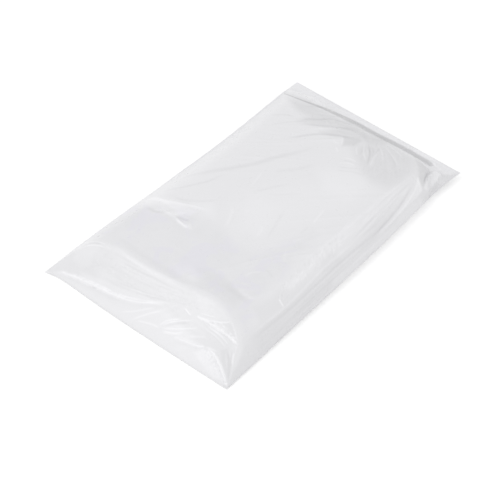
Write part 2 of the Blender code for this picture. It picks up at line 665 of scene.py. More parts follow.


# %% [markdown]
# A crease changes the film's lift and its painted light together: a painted highlight on a crest, and
# painted shade in a pleat. The finest ones are too many to draw one by one. They are strewn between two
# guide paths by one generator with a fixed seed, so they fall the same way each time.

# %% Kinds of creases
GUIDE_POINTS = 9
LINE_LIFT = 0.3
LINE_CRISPNESS = 0.4
NEAR_REACH = 1.15
# The painted highlight along a glint, and the painted shade along a dark line
GLINT_PAINTED_LIGHT = 0.13
DARK_LINE_PAINTED_SHADE = 0.10
FLECK_REACH = 1.5
FLECK_FADE = 0.4
FLECK_HALF_LENGTHS = (1.2, 3.2)
FLECK_STRENGTHS = (0.3, 1)
SLANT_SPREAD = 13
THREAD_PLACES = (0.15, 0.85)
THREAD_STRENGTHS = (0.5, 1.2)
THREAD_WANDER = 0.5
THREAD_FAR_REACH = 1.1
THREAD_FADE = 0.35
SEED = 7
random = np.random.default_rng(SEED)


def crease(pixels, lift, far, near, painted_light=0.0, fade=0.3, crisp=0.0):
    """Lifts the film along a path and paints light or shade along it. Its lift and its two reaches are in
    millimetres.
    """
    path = softened(on_film(pixels))
    points, away, along = beside(path, max(far, near) * MM)
    share = np.clip(np.abs(away) / np.where(away > 0, far, near) / MM, 0, 1)
    flank = crisp * (1 - share) ** 2 + (1 - crisp) * (1 - share * share) ** 2
    ends = smooth_share(along / fade) * smooth_share((1 - along) / fade)
    film_lift[points] += lift * MM * flank * ends
    film_shade[points] += painted_light * flank * ends


def glint(pixels, strength=1.0, reach=1.8, fade=0.25):
    """A thin raised line, with a painted highlight along it."""
    near = reach * NEAR_REACH
    crease(pixels, LINE_LIFT * strength, reach, near, GLINT_PAINTED_LIGHT * strength, fade, LINE_CRISPNESS)


def dark_line(pixels, strength=1.0, reach=1.8, fade=0.25):
    """A thin sunk line, where the film is drawn into a pleat, with painted shade along it."""
    near = reach * NEAR_REACH
    crease(pixels, -LINE_LIFT * strength, reach, near, -DARK_LINE_PAINTED_SHADE * strength, fade, LINE_CRISPNESS)


def in_between(first, second, share):
    """A path at a share of the way from one guide path to another, both given in pixels."""
    first = softened(np.array(first, float), GUIDE_POINTS)
    second = softened(np.array(second, float), GUIDE_POINTS)
    return first * (1 - share) + second * share


def flecks(first, second, count, slant, strength=1.0, size=1.0):
    """Tiny glints with painted highlights, or painted shade below zero, strewn between two guide paths, all
    slanting about the same way, in degrees.
    """
    for _ in range(count):
        path = in_between(first, second, random.uniform(0, 1))
        step = random.integers(0, len(path) - 1)
        share = random.uniform(0, 1)
        place = path[step] * (1 - share) + path[step + 1] * share
        way = math.radians(slant + random.normal(0, SLANT_SPREAD))
        stroke = np.array([math.cos(way), math.sin(way)]) * random.uniform(*FLECK_HALF_LENGTHS) * size
        own_strength = strength * random.uniform(*FLECK_STRENGTHS)
        glint([place - stroke, place, place + stroke], own_strength, FLECK_REACH, FLECK_FADE)


def fine_creases(first, second, count, lift, reach, painted_light=0.0, crisp=0.5):
    """Fine creases with painted light or shade, strewn between two guide paths, each with its own length
    and strength.
    """
    for number in range(count):
        share = (number + random.uniform(*THREAD_PLACES)) / count
        path = in_between(first, second, share)
        begin = random.integers(0, 3)
        end = len(path) - random.integers(0, 3)
        strength = random.uniform(*THREAD_STRENGTHS)
        path = path[begin:end] + random.normal(0, THREAD_WANDER, (end - begin, 2))
        far = reach * THREAD_FAR_REACH
        crease(path, lift * strength, far, reach, painted_light * strength, THREAD_FADE, crisp)


def tell_creased(part):
    print("with", part, "creased,", int(np.count_nonzero(film_lift)), "points of film are off their place")


# %% [markdown]
# At the sealed end the film leaves the top over a soft ridge, dips, and comes over a second, sharper
# crest that catches the light, with a painted highlight along it. Fine lines run along the dip between
# them, where the film was pulled tight from side to side.

# %% Creases of the sealed end
UPPER_RIDGE = [
    (80, 246), (88, 241), (104, 243), (120, 247), (136, 260), (157, 272), (179, 284), (196, 289),
    (210, 294.4), (221, 302), (228, 311), (232.4, 320), (235.7, 328.5), (238, 341),
]
RIDGE_BAND = [
    (101, 244), (109, 245.5), (118, 249), (127, 256), (137, 262.5), (149, 270), (161, 275.5), (182, 286),
    (205, 294.5),
]
RIDGE_END_HIGH = [(81, 244.8), (88.5, 242.2), (95, 241.6), (102, 243), (108, 245.8)]
RIDGE_END_LOW = [(80.6, 248.4), (85.5, 246.2), (93.3, 245), (100.6, 245.8), (106, 248.6)]
BETWEEN_RIDGE_ENDS = [(83, 246), (89, 243.8), (96, 243.2), (103, 244.8)]
DIP_BEHIND_RIDGE = [
    (108, 233), (114.5, 235.6), (124, 241.6), (134, 249), (146, 257), (160, 266), (180, 277), (204, 286),
    (222, 294),
]
crease(UPPER_RIDGE, 1.3, 7, 13)
crease(RIDGE_BAND, 0.3, 4, 5, 0.055, 0.35)
glint(RIDGE_END_HIGH, 0.9, 1.4)
glint(RIDGE_END_LOW, 0.9, 1.5)
dark_line(BETWEEN_RIDGE_ENDS, 0.8, 1.3)
crease(DIP_BEHIND_RIDGE, -0.7, 8, 6, -0.035)

CREST = [
    (49, 272.5), (61.6, 272.5), (69, 275), (76, 277.6), (84, 281), (92.8, 284.3), (102.4, 289.6),
    (112, 294.4), (118, 296.5), (124, 299.2), (133, 301.5), (142, 302.8), (151, 303), (160, 304.5),
    (168, 306.5),
]
CREST_TWIN = [(112, 292), (124, 296.5), (136, 299.2), (150, 301.2), (162, 302.5), (174, 305)]
CREST_HIGH = [(64, 270), (80, 276.5), (98, 284), (114, 291.5), (126, 297)]
CREST_LOW = [(62, 274), (78, 281), (96, 289), (112, 297), (126, 301)]
crease(CREST, 1.5, 4.5, 13, 0.02, 0.3, 0.5)
crease(CREST, 0.3, 4.2, 5.4, 0.06, 0.15, 0.2)
glint(CREST, 0.4, 2.4, 0.12)
glint(CREST_TWIN, 0.55, 1.7)
flecks(CREST_HIGH, CREST_LOW, 60, 22, 0.8)
flecks(CREST_HIGH, CREST_LOW, 44, 98, 0.6)
flecks(CREST_HIGH, CREST_LOW, 36, 35, -0.35)

UNDER_RIDGE = [(98, 250), (112, 254), (130, 264), (150, 275), (172, 286), (196, 296.5), (214, 305)]
ABOVE_CREST = [(88, 268), (104, 279), (124, 290), (148, 298), (172, 302), (196, 309), (214, 314)]
fine_creases(UNDER_RIDGE, ABOVE_CREST, 15, 0.19, 2.2, 0.014)
flecks(UNDER_RIDGE, ABOVE_CREST, 60, 24, 0.3)
flecks(UNDER_RIDGE, ABOVE_CREST, 50, 24, -0.3)
fine_creases(UNDER_RIDGE, ABOVE_CREST, 7, -0.12, 2.2, -0.01)

FAINT_STREAK_HIGH = [(118, 312.4), (127, 311.5), (136, 311.2), (148, 308.8), (158, 307)]
FAINT_STREAK_MIDDLE = [(130, 320.8), (136, 318), (142, 316), (148, 314), (155, 312.3), (163, 311)]
FAINT_STREAK_LOW = [(134.8, 320.8), (141, 321.6), (148, 323.2), (155, 325.6), (161, 329)]
THIN_ARC_HIGH = [(158.8, 327), (160.8, 324.3), (164, 322.2), (168, 320.7), (174, 319.6), (183, 319.1)]
THIN_ARC_MIDDLE = [(161, 325.6), (165, 324), (171, 322.4), (178, 321.2), (186, 320.7), (194, 320.7)]
ARC_SHADE = [(162, 327.4), (170, 325.2), (180, 324.2), (192, 324)]
THIN_ARC_LOW = [(160, 328.2), (167.5, 328.8), (178.5, 329.6), (188, 328.8), (199, 328.4)]
BRIGHT_ARC_END = [(161, 331.2), (166, 332.6), (171.5, 333.7), (178, 333.9), (184, 332)]
LONG_GLINT = [(172, 337.4), (178.6, 339.5), (186.2, 341.8), (195, 345.6), (206, 347.6)]
SHORT_GLINT = [(184, 307.2), (186.3, 310.2), (188.6, 313), (191.6, 316.6)]
SOFT_BAND = [(188, 336.6), (194, 336.8), (200, 337), (207, 337.4)]
glint(FAINT_STREAK_HIGH, 0.45)
glint(FAINT_STREAK_MIDDLE, 0.6)
glint(FAINT_STREAK_LOW, 0.6)
glint(THIN_ARC_HIGH, 0.8, 1.6)
glint(THIN_ARC_MIDDLE, 0.7, 1.6)
crease(ARC_SHADE, -0.3, 2.6, 2.6, -0.03)
glint(THIN_ARC_LOW, 0.7, 2.0)
glint(BRIGHT_ARC_END, 0.8, 2.4)
crease(LONG_GLINT, 1.0, 3, 6, 0.03, 0.25, 0.5)
glint(LONG_GLINT, 1.0, 2.2, 0.2)
glint(SHORT_GLINT, 1.6, 1.7, 0.3)
glint(SOFT_BAND, 0.45, 2.6)
tell_creased("the sealed end")

# %% [markdown]
# Where the sealed end meets the right side the film comes over a sharp hip. It falls from there in
# a fan of pleats, which is full of short glints with painted highlights, to the seam.

# %% Creases where the sealed end meets the right side
TOP_GLINT_LEFT = [(200, 313.2), (205, 314.4), (210.4, 316), (216, 317.3)]
LONG_TOP_GLINT = [
    (197.6, 316.6), (202, 318), (206, 319.7), (211, 321), (217, 322), (224, 322.6), (232, 322.5),
]
HIP_GLINT_HIGH = [
    (200, 317.6), (205, 320.6), (210.4, 323.4), (217, 328.3), (222, 330.8), (226, 333.2), (231.3, 338.2),
    (237, 344.4),
]
HIP_GLINT_BESIDE = [(214, 328.6), (220.5, 331.5), (227, 335.7), (233, 341.6)]
HIP_GLINT_MIDDLE = [(206.5, 326), (212, 329.4), (217, 333), (223.6, 338.6), (230.4, 347.4)]
HIP_GLINT_LOW = [(203, 327), (209, 331.4), (215, 335.6), (221, 341.4), (227, 349)]
HIP_THREADS_HIGH = [(199, 315.4), (208, 317.6), (218, 322), (230, 328), (237, 340)]
HIP_THREADS_LOW = [(201, 323), (209, 328), (218, 335), (226, 342), (230, 348)]
HIP_FILL_HIGH = [(206, 319), (216, 322.6), (226, 327), (234, 336), (237.6, 344)]
HIP_FILL_LOW = [(205, 321.6), (214, 327), (222, 331.6), (230, 338), (236, 346)]
HIP_STAR = [(196.6, 315.8), (199.4, 317.6), (203, 321)]
HIP_EDGE = [(228, 318), (232, 322.6), (234.6, 330), (237, 339), (238.4, 345)]
HIP_BRIGHT_END = [(230, 336.6), (233.5, 340), (237.2, 344.8)]
HIP_CORNER_FALL = [(238.3, 343), (236, 352), (233, 360), (231.5, 372), (229, 386)]
HIP_PLEAT = [(226.5, 349), (227.6, 359), (228.4, 368), (227.4, 386)]
HIP_SECOND_PLEAT = [(231, 348), (230.4, 358), (230.4, 370)]
SIDE_GLINT = [(233.8, 352), (233, 358.5), (232.2, 366)]
glint(TOP_GLINT_LEFT, 0.7, 1.6)
glint(LONG_TOP_GLINT, 0.95, 1.8, 0.15)
glint(HIP_GLINT_HIGH, 0.7, 1.9, 0.12)
glint(HIP_GLINT_BESIDE, 0.7, 1.5)
glint(HIP_GLINT_MIDDLE, 0.75, 1.7)
glint(HIP_GLINT_LOW, 0.5, 1.6)
glint(HIP_STAR, 0.9, 2.4)
fine_creases(HIP_THREADS_HIGH, HIP_THREADS_LOW, 7, 0.2, 1.6, 0.05)
fine_creases(HIP_FILL_HIGH, HIP_FILL_LOW, 4, 0.25, 1.4, 0.05)
flecks(HIP_FILL_HIGH, HIP_FILL_LOW, 34, 38, 0.55)
flecks(HIP_FILL_HIGH, HIP_FILL_LOW, 22, 38, -0.25)
flecks(HIP_GLINT_HIGH, HIP_GLINT_BESIDE, 30, 52, 0.6)
crease(HIP_EDGE, 1.2, 4, 5, 0.02, 0.2, 0.6)
glint(HIP_EDGE, 0.15, 1.6)
glint(HIP_BRIGHT_END, 0.9, 3.0)
crease(HIP_CORNER_FALL, 1.0, 3.5, 4, 0.0, 0.2, 0.5)
crease(HIP_PLEAT, -0.9, 3.4, 3, -0.03, 0.3, 0.3)
crease(HIP_SECOND_PLEAT, -0.5, 2.6, 2.6, -0.02, 0.3, 0.3)
glint(SIDE_GLINT, 0.8, 1.9)

FAN_EDGE = [(214, 354), (217, 359.8), (221, 367.6), (224.4, 377), (226.2, 387)]
FAN_LEFT = [(193, 351), (199, 357.5), (206, 365), (216, 376), (226, 388)]
FAN_RIGHT = [(208, 348.6), (212.5, 353), (216.4, 360), (221.4, 371), (226, 386)]
FAN_MIDDLE = [(203, 351), (208, 359), (213, 368), (220, 379), (226, 388)]
FAN_TICKS = [
    [(207, 350.6), (201.5, 355), (197, 360.6)],
    [(211.5, 351.4), (206, 354.6), (201.4, 359)],
    [(214, 353.6), (208.6, 357.6), (205, 362)],
    [(204.4, 349), (200, 352), (196, 356)],
]
UNDER_GLINT = [(204, 346.6), (211, 349), (218, 352)]
crease(FAN_EDGE, 0.9, 3, 5, 0.02, 0.2, 0.5)
glint(FAN_EDGE, 0.28, 2.8, 0.15)
for tick in FAN_TICKS:
    glint(tick, 0.6, 1.5)
glint(UNDER_GLINT, 0.55, 2.2)
flecks(FAN_LEFT, FAN_RIGHT, 60, 125, 0.6)
flecks(FAN_RIGHT, FAN_EDGE, 60, 65, 0.9)
flecks(FAN_RIGHT, FAN_EDGE, 40, 130, 0.7)
flecks(FAN_RIGHT, FAN_EDGE, 40, 80, -0.35)
flecks(FAN_MIDDLE, FAN_EDGE, 80, 115, 0.8)
flecks(FAN_MIDDLE, FAN_EDGE, 40, 95, -0.3)
tell_creased("the hip")

# %% [markdown]
# On top the film lies loose. Long soft creases with painted shade run from the folded end towards the
# left seam, where the film was pulled when the end was folded over. A glossy zigzag with painted
# highlights crosses near the left seam, and a corner of the filling pushes up through the film near
# the sealed end.

# %% Creases of the top
LONG_CREASE = [
    (326, 144), (318, 145.4), (306, 149.4), (292, 153), (281, 154.8), (258, 162.4), (226, 168),
    (196, 174), (170, 184),
]
SECOND_LONG_CREASE = [(228, 172), (210, 180.6), (196.7, 183.5), (180, 187.4), (166.7, 190.8), (157, 193)]
THIRD_LONG_CREASE = [(319, 162.6), (311, 165), (298, 168.4), (286.7, 169.6), (270, 171)]
SHORT_LONG_CREASE = [(292, 183.4), (276, 185.8), (264, 189), (250, 192)]
LOWER_SHORT_CREASE = [(306, 194), (292, 193.6), (278, 194.6), (262, 193.6)]
LOW_CREASE = [(171, 194), (180, 199.2), (201, 201.2), (224, 199)]
FLECK = [(263.6, 171), (257, 179), (249.5, 188)]
FAR_FLECK = [(325.8, 208), (319, 216), (311.7, 225)]
crease(LONG_CREASE, -1.1, 7, 5, -0.055)
crease(SECOND_LONG_CREASE, -0.7, 4, 3.4, -0.045)
crease(THIRD_LONG_CREASE, -0.6, 6, 5, -0.028)
crease(SHORT_LONG_CREASE, -0.6, 4, 4, -0.03)
crease(LOWER_SHORT_CREASE, -0.4, 3, 3, -0.022)
crease(LOW_CREASE, -0.6, 4, 4, -0.035)
glint(FLECK, 0.3, 2.2)
glint(FAR_FLECK, 0.35, 2.2)

ZIGZAG = [(160, 206), (167.8, 213), (174.4, 216), (178.9, 221), (185.6, 226.8), (192, 230)]
ZIGZAG_TIP = [(166.5, 212.2), (172, 214.2), (178.6, 214.4)]
ZIGZAG_CRESCENT = [(175.6, 218), (180, 222.4), (185.6, 225.8), (191, 227.6)]
ZIGZAG_HOLLOW_HIGH = [(146, 206.6), (152, 210), (158, 211.4), (166, 211.6)]
ZIGZAG_HOLLOW_LOW = [(176.4, 215.8), (181, 217.6), (186, 219.2), (190.4, 220.4)]
ARC_OVER_ZIGZAG = [
    (146, 199.6), (152.2, 198), (166.7, 200.8), (176.7, 202.8), (192.2, 205.6), (201, 207.8), (212, 211),
]
BRIGHT_PLATE = [(143.6, 200.8), (150, 199), (158, 199.6), (166, 202.4), (176, 205.6)]
LIGHT_STREAK = [(160.6, 206.6), (164.6, 208.4), (169, 210.4)]
FLICK = [(233.3, 204), (232.2, 213), (228.9, 222), (223.3, 228)]
crease(ZIGZAG, 1.3, 3, 4.4, 0.04, 0.2, 0.4)
glint(ZIGZAG_TIP, 0.6, 1.8)
glint(ZIGZAG_CRESCENT, 0.85, 3.0, 0.3)
crease(ZIGZAG_HOLLOW_HIGH, -1.0, 4, 4.4, -0.075)
crease(ZIGZAG_HOLLOW_LOW, -1.0, 4.2, 4.6, -0.07, 0.25)
crease(ARC_OVER_ZIGZAG, 1.1, 3.6, 5, 0.05, 0.25, 0.3)
crease(BRIGHT_PLATE, 0.3, 4, 5, 0.065, 0.3)
glint(LIGHT_STREAK, 0.4, 1.7)
crease(FLICK, 0.7, 3.4, 4, 0.035)

FILLING_CORNER = [(226, 272), (238, 288), (253, 300), (264, 295), (277, 288)]
BEHIND_CORNER = [(222, 282), (234, 291), (246, 300), (256, 303)]
crease(FILLING_CORNER, 0.8, 8, 4, 0.018)
crease(BEHIND_CORNER, -0.4, 6, 7, -0.035)

LONG_PULL = [
    (236, 264.8), (253.3, 261.6), (264.4, 258.9), (275.6, 256.7), (286.7, 255), (297.8, 253), (314, 250),
]
PULLS_BESIDE = [
    [(290, 242), (295.6, 240.4), (304.4, 237.1), (316.7, 233.2)],
    [(300, 244), (307, 242.2), (314.4, 240.6), (326.7, 238.6)],
]
CORNER_GLINT = [(245.4, 278.4), (247.2, 274.2), (252, 272.4), (257, 272), (263.4, 271.6)]
CORNER_DARK = [(265, 268.6), (268, 271), (270.4, 274), (273, 278)]
CORNER_STREAK = [(286, 250), (284.8, 256), (283.8, 263)]
SHORT_DARK = [(286.7, 208.4), (282.6, 213.6), (279, 219.3), (274, 227.4), (270, 233.8), (265, 240)]
LIGHT_BESIDE_DARK = [(262.6, 225), (261.6, 230), (259, 234), (255, 238)]
DARK_BELOW_FLECK = [(309, 226), (304.6, 230), (299.4, 234.4)]
crease(LONG_PULL, 0.5, 4, 4, 0.028, 0.15)
for path in PULLS_BESIDE:
    crease(path, 0.35, 3.5, 3.5, 0.02, 0.2)
glint(CORNER_GLINT, 0.4, 2.2)
dark_line(CORNER_DARK, 0.4, 2.4)
glint(CORNER_STREAK, 0.25, 2.4)
crease(SHORT_DARK, -0.45, 3, 3, -0.028)
crease(LIGHT_BESIDE_DARK, 0.3, 4, 4, 0.025)
dark_line(DARK_BELOW_FLECK, 0.35, 2.4)
tell_creased("the top")

# %% [markdown]
# At the folded end the flap pulls the film into a deep valley. Puckers spread out from one point
# behind it, where the fold was pressed down, and the right end of the fold stands up as a small
# triangle, with painted light on it.

# %% Creases of the folded end
WEDGE_HIGH = [(300, 106.6), (308, 106), (316.7, 106.4), (326, 108.8), (337, 113.4), (346, 118)]
WEDGE_MIDDLE = [
    (300, 121.4), (307.8, 118), (318.9, 119.4), (330, 118.6), (337, 119.8), (348, 123), (358, 127.4),
]
WEDGE_LOW = [(302, 123), (316.7, 124.8), (328, 125.6), (337, 126.8), (350, 128.6), (360, 132)]
LIGHT_IN_WEDGE = [(312, 112.6), (324, 113.2), (336, 116.4), (348, 121.4)]
FAINT_ARC_HIGH = [(268, 115.4), (278, 114.6), (287, 114.6), (297, 117)]
FAINT_ARC_LOW = [(268, 125.8), (277, 123.4), (286, 122), (297, 121.2), (304, 121.6)]
BRIGHT_ARC = [(306, 129), (316, 128.4), (328, 128.4), (339, 129.6), (350, 132), (358, 134.6), (366, 140)]
DARK_ARC = [
    (284, 138.6), (293, 137), (303, 135.2), (316.7, 133.4), (330, 134), (341, 135.2), (350, 137.4),
    (360, 139),
]
# Glints with painted highlights around the spot of painted shade among the patches below
SHADE_SPOT_EDGE = [(343.4, 136.8), (342.4, 141), (341.8, 146)]
GLINT_BESIDE_SHADE_SPOT = [(332, 140), (336, 142.6), (340, 143)]
GLINT_UNDER_SHADE_SPOT = [(335.4, 146.4), (337, 149), (338, 152.4)]
crease(WEDGE_HIGH, -0.5, 3, 3.4, -0.04)
crease(WEDGE_MIDDLE, -0.9, 3, 3.4, -0.06, 0.2)
crease(WEDGE_LOW, -0.8, 2.6, 3.4, -0.055, 0.2)
crease(LIGHT_IN_WEDGE, 0.5, 3, 3, 0.03)
dark_line(FAINT_ARC_HIGH, 0.5, 2.8)
dark_line(FAINT_ARC_LOW, 0.4, 2.2)
crease(BRIGHT_ARC, 1.0, 3.4, 4, 0.035, 0.25, 0.3)
crease(DARK_ARC, -0.9, 3.2, 4, -0.085, 0.25)
glint(SHADE_SPOT_EDGE, 0.45, 1.8)
glint(GLINT_BESIDE_SHADE_SPOT, 0.35, 3.2)
glint(GLINT_UNDER_SHADE_SPOT, 0.45, 2.0)

PUCKERS_DARK = [
    [(368.6, 144), (369.9, 150), (370, 155), (368.6, 160), (367.4, 166)],
    [(380.4, 147), (377.6, 151), (374.6, 156)],
    [(364.8, 145), (362, 150), (360.6, 156)],
    [(372, 146), (373.6, 151), (372, 158)],
    [(376, 166), (384, 170), (392, 176)],
    [(386.4, 150), (393, 158), (395.6, 167)],
]
PUCKERS_BRIGHT = [
    [(365.6, 142.9), (363.6, 148), (364, 154), (366.6, 163)],
    [(379.4, 150), (375.6, 155), (372, 161), (369.6, 168)],
    [(383.7, 145.2), (389.5, 152), (396.5, 161.5), (399, 168)],
    [(384.8, 142.9), (392, 147.6), (399, 153.4), (405, 160.5)],
    [(357.6, 146), (356, 150.6), (357.4, 156)],
    [(377, 144.6), (381, 149), (383, 156), (383, 163)],
]
SMALL_ARCS_BRIGHT = [
    [(343, 157.4), (348, 158.2), (354.4, 160.4), (359.4, 164)],
    [(337, 163.4), (344, 162.4), (351, 163.6), (357, 166.6)],
]
SMALL_ARCS_DARK = [
    [(336, 166.4), (343, 167.4), (351, 168.4), (360, 168.6)],
    [(334, 169.6), (344, 171), (354, 171.6), (363, 175.4)],
    [(342, 160.4), (348, 161), (354, 163)],
]
for path, strength in zip(PUCKERS_DARK, (1.0, 0.7, 0.45, 0.5, 0.2, 0.25)):
    dark_line(path, strength, 2.2)
for path in PUCKERS_BRIGHT:
    glint(path, 0.5, 1.8)
for path in SMALL_ARCS_BRIGHT:
    glint(path, 0.4, 1.8)
for path in SMALL_ARCS_DARK:
    dark_line(path, 0.45, 2.4)

FOLD_RIDGE = [
    (418.8, 178), (417.8, 184), (415.2, 190), (412, 195.5), (409, 200), (405.6, 205), (401.6, 210),
    (397.4, 215), (393, 220), (388.4, 225), (383.8, 230), (379, 235), (374, 240.5),
]
BEHIND_FOLD_RIDGE = [
    (415.4, 180), (413, 185), (410.6, 190), (407.6, 195), (404.6, 200), (401, 205), (397.4, 210),
    (393, 215), (389, 220), (384, 225), (379.6, 230), (375.6, 235), (371, 240), (366, 245),
]
FOLD_EDGE = [(417.9, 176.4), (419.8, 183.6), (423, 191)]
POCKET_DARKEST = [(431, 165.4), (430.8, 170), (428.2, 174.6), (425.4, 178.8), (423.6, 185.6)]
PANEL_EDGE = [(431, 160.6), (434.4, 164.4), (438.6, 168), (443.6, 172.6)]
UNDER_PANEL_EDGE = [(433.4, 168), (437.4, 171.4), (441, 173.6), (445.4, 175.2)]
POCKET_TOP = [(420, 161), (424, 163.6), (428, 166.4), (431.6, 168.4)]
TIP_EDGE = [(430, 158.4), (438, 162.8), (447, 168), (456, 173)]
FLAP_GLINT_HIGH = [(303, 87.4), (306, 90.4), (309.4, 94)]
FLAP_GLINT_LOW = [(318.6, 96), (322.6, 98.6), (327, 102)]
BRIGHT_HEM = [(332, 109.4), (348, 116.6), (362, 123.4), (380, 133), (398, 142), (414, 150.6), (428, 158.6)]
crease(FOLD_RIDGE, 1.2, 3.2, 7, 0.02, 0.35, 0.3)
glint(FOLD_RIDGE, 0.5, 2.4, 0.35)
crease(BEHIND_FOLD_RIDGE, -0.8, 3.6, 2.6, -0.035, 0.3)
dark_line(BEHIND_FOLD_RIDGE, 0.3, 2.0, 0.35)
crease(FOLD_EDGE, 1.0, 2.6, 3.5, 0.01, 0.15, 0.5)
crease(POCKET_DARKEST, -1.6, 4, 3.4, -0.08, 0.25)
glint(PANEL_EDGE, 0.6, 2.1)
dark_line(UNDER_PANEL_EDGE, 0.6, 1.6)
crease(POCKET_TOP, -0.3, 2.6, 2.6, -0.10, 0.2)
glint(TIP_EDGE, 0.35, 1.8)
glint(FLAP_GLINT_HIGH, 1.2, 2.2)
glint(FLAP_GLINT_LOW, 1.2, 2.2)
glint(BRIGHT_HEM, 0.4, 2.2, 0.15)

CRUMPLED_LEFT = [(350, 146), (354, 160), (364, 176)]
CRUMPLED_RIGHT = [(390, 143), (404, 156), (410, 172)]
PULLS_LEFT = [(368, 151), (364, 161), (362, 174), (363, 187)]
PULLS_RIGHT = [(390, 148), (399, 160), (403, 174), (399, 190)]
fine_creases(PULLS_LEFT, PULLS_RIGHT, 5, 0.13, 2.6, 0.012, 0.3)
fine_creases(PULLS_LEFT, PULLS_RIGHT, 6, -0.13, 2.4, -0.014, 0.3)
flecks(CRUMPLED_LEFT, CRUMPLED_RIGHT, 60, 66, 0.24, 1.7)
flecks(CRUMPLED_LEFT, CRUMPLED_RIGHT, 60, 108, -0.24, 1.7)
flecks(WEDGE_HIGH, WEDGE_LOW, 30, 20, 0.25, 1.8)
flecks(WEDGE_HIGH, WEDGE_LOW, 30, 20, -0.3, 1.8)

EAR_HIGH = [(436, 167), (444, 171), (452, 174)]
EAR_LOW = [(428, 190), (436, 184), (444, 179)]
flecks(EAR_HIGH, EAR_LOW, 16, 70, 0.45)
flecks(EAR_HIGH, EAR_LOW, 18, 70, -0.7)
tell_creased("the folded end")

# %% [markdown]
# Along the right side the film is pulled tight over the filling's edge. One thin ridge with a painted
# highlight marks that edge, and below it the film falls in fine lines to the seam.

# %% Creases of the right side
SIDE_RIDGE = [(243.6, 342), (262, 326), (284, 309), (303, 291), (321, 271), (345, 250), (369, 231)]
BELOW_SIDE_RIDGE = [(247, 345.4), (265, 329), (287, 312), (306, 294), (324, 274.6)]
PLATEAU_LINE = [(409, 176), (380, 199), (359, 217), (337, 235), (310, 256), (288, 275)]
SIDE_HIGH = [(250, 340), (292, 306), (331, 268), (373, 232), (408, 202)]
SIDE_LOW = [(240, 374), (288, 332), (338, 285), (384, 243), (414, 214)]
SHOULDER_HIGH = [(276, 292), (300, 268), (326, 243), (338, 233)]
SHOULDER_LOW = [(280, 302), (306, 278), (334, 252), (348, 241)]
SHOULDER_FAR_HIGH = [(332, 236), (352, 218), (372, 202), (396, 184)]
SHOULDER_FAR_LOW = [(340, 246), (362, 228), (384, 210), (404, 192)]
SIDE_TICK = [(279, 298.6), (281, 302.6), (284, 307.4)]
crease(SIDE_RIDGE, 0.8, 3.2, 4, 0.02, 0.3, 0.4)
crease(PLATEAU_LINE, 0.5, 5, 5, 0.015)
fine_creases(SIDE_HIGH, SIDE_LOW, 12, 0.45, 2.6, 0.025, 0.4)
fine_creases(SIDE_HIGH, SIDE_LOW, 8, -0.35, 2.4, -0.03, 0.4)
fine_creases(PLATEAU_LINE, SIDE_HIGH, 5, 0.35, 3.4, 0.015, 0.3)
glint(SIDE_RIDGE, 0.3, 2.2)
dark_line(BELOW_SIDE_RIDGE, 0.3, 2.6)
glint(SIDE_TICK, 1.1, 1.9)
flecks(SHOULDER_HIGH, SHOULDER_LOW, 80, 99, 0.36, 1.5)
flecks(SHOULDER_HIGH, SHOULDER_LOW, 50, 99, -0.3, 1.5)
flecks(SHOULDER_FAR_HIGH, SHOULDER_FAR_LOW, 40, 128, 0.25, 1.5)

UNDER_PLATEAU_HIGH = [(416, 172), (398, 184), (378, 202), (356, 224), (340, 240)]
UNDER_PLATEAU_LOW = [(414, 184), (400, 199), (386, 214), (370, 232), (352, 250)]
fine_creases(UNDER_PLATEAU_HIGH, UNDER_PLATEAU_LOW, 9, 0.32, 2.2, 0.036, 0.3)
fine_creases(UNDER_PLATEAU_HIGH, UNDER_PLATEAU_LOW, 9, -0.32, 2.2, -0.04, 0.3)
tell_creased("the right side")

# %% [markdown]
# All the lifts are added up first, and the film is moved once. Its normals and its pixels are those
# of the smooth film until then, so one crease does not bend the next.

# %% Lift the film into its creases
set_places(film, film_places + film_normals * film_lift[:, None])
print("creases lift the film by", round(float(film_lift.max()) / MM, 1), "mm at most")
print("and sink it by", round(float(-film_lift.min()) / MM, 1), "mm")
